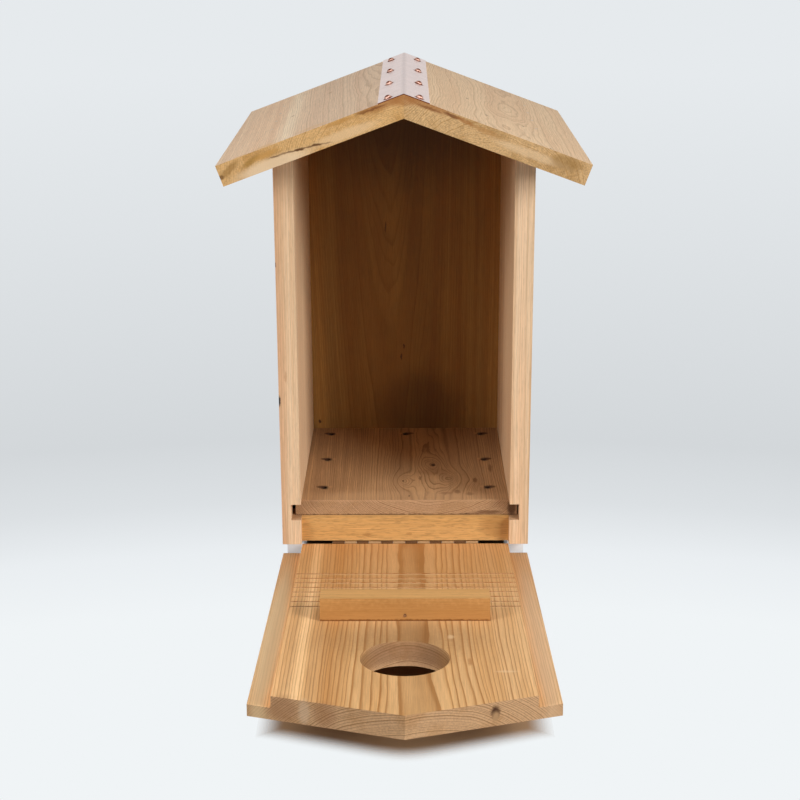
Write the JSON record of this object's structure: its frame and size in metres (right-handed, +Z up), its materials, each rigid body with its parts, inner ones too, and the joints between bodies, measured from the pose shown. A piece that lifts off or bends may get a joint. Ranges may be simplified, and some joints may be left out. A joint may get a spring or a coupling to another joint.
{
  "type": "owl nest box",
  "caption": "Gabled cedar nest box with a mitred roof, copper ridge strip, grooved floor and a drop-down front door with a round entry hole, ladder grooves and a perch block.",
  "frame": {"origin": "on the rear face of the back board, at the middle of its bottom edge", "axes": "+Y points out of the rear face towards the tree or wall, +Z up, +X to the right seen from the front"},
  "size_m": [0.3242, 0.673, 0.4714],
  "materials": {
    "cedar_side": "planed cedar, pale, satin",
    "cedar_back": "planed cedar, brown, satin",
    "cedar_floor": "planed cedar, greyish brown, satin",
    "cedar_rail": "planed cedar, golden, satin",
    "cedar_roof": "planed cedar, golden grey, satin",
    "cedar_door": "planed cedar, golden, satin",
    "cedar_block": "planed cedar, golden, satin",
    "copper_sheet": "thin copper sheet, bright",
    "copper_nail": "copper nail head, brown",
    "aluminium_hinge": "mill finish",
    "steel_fastener": "zinc plated"
  },
  "bodies": {
    "box": {"left_side": "cedar_side", "right_side": "cedar_side", "back_panel": "cedar_back", "floor_panel": "cedar_floor", "front_rail": "cedar_rail", "roof_left": "cedar_roof", "roof_right": "cedar_roof", "ridge_strip": "copper_sheet", "ridge_nails_left": "copper_nail", "ridge_nails_right": "copper_nail", "hinge_rail_leaf": "aluminium_hinge", "hinge_pin": "steel_fastener", "rail_leaf_screws": "steel_fastener", "back_nails_left": "steel_fastener", "back_nails_right": "steel_fastener", "floor_nails_left": "steel_fastener", "floor_nails_right": "steel_fastener", "rail_nails_left": "steel_fastener", "rail_nails_right": "steel_fastener", "roof_nails_left": "steel_fastener", "roof_nails_right": "steel_fastener", "roof_back_nails": "steel_fastener"},
    "door": {"door_panel": "cedar_door", "perch_block": "cedar_block", "perch_brad": "steel_fastener", "hinge_door_leaf": "aluminium_hinge", "door_leaf_screws": "steel_fastener"}
  },
  "joints": [
    {"name": "door_hinge", "type": "hinge", "parent": "box", "child": "door", "pos_m": [0, -0.245, -0.0021], "axis": [1, 0, 0], "range_deg": [-84.5, 95.5]}
  ]
}
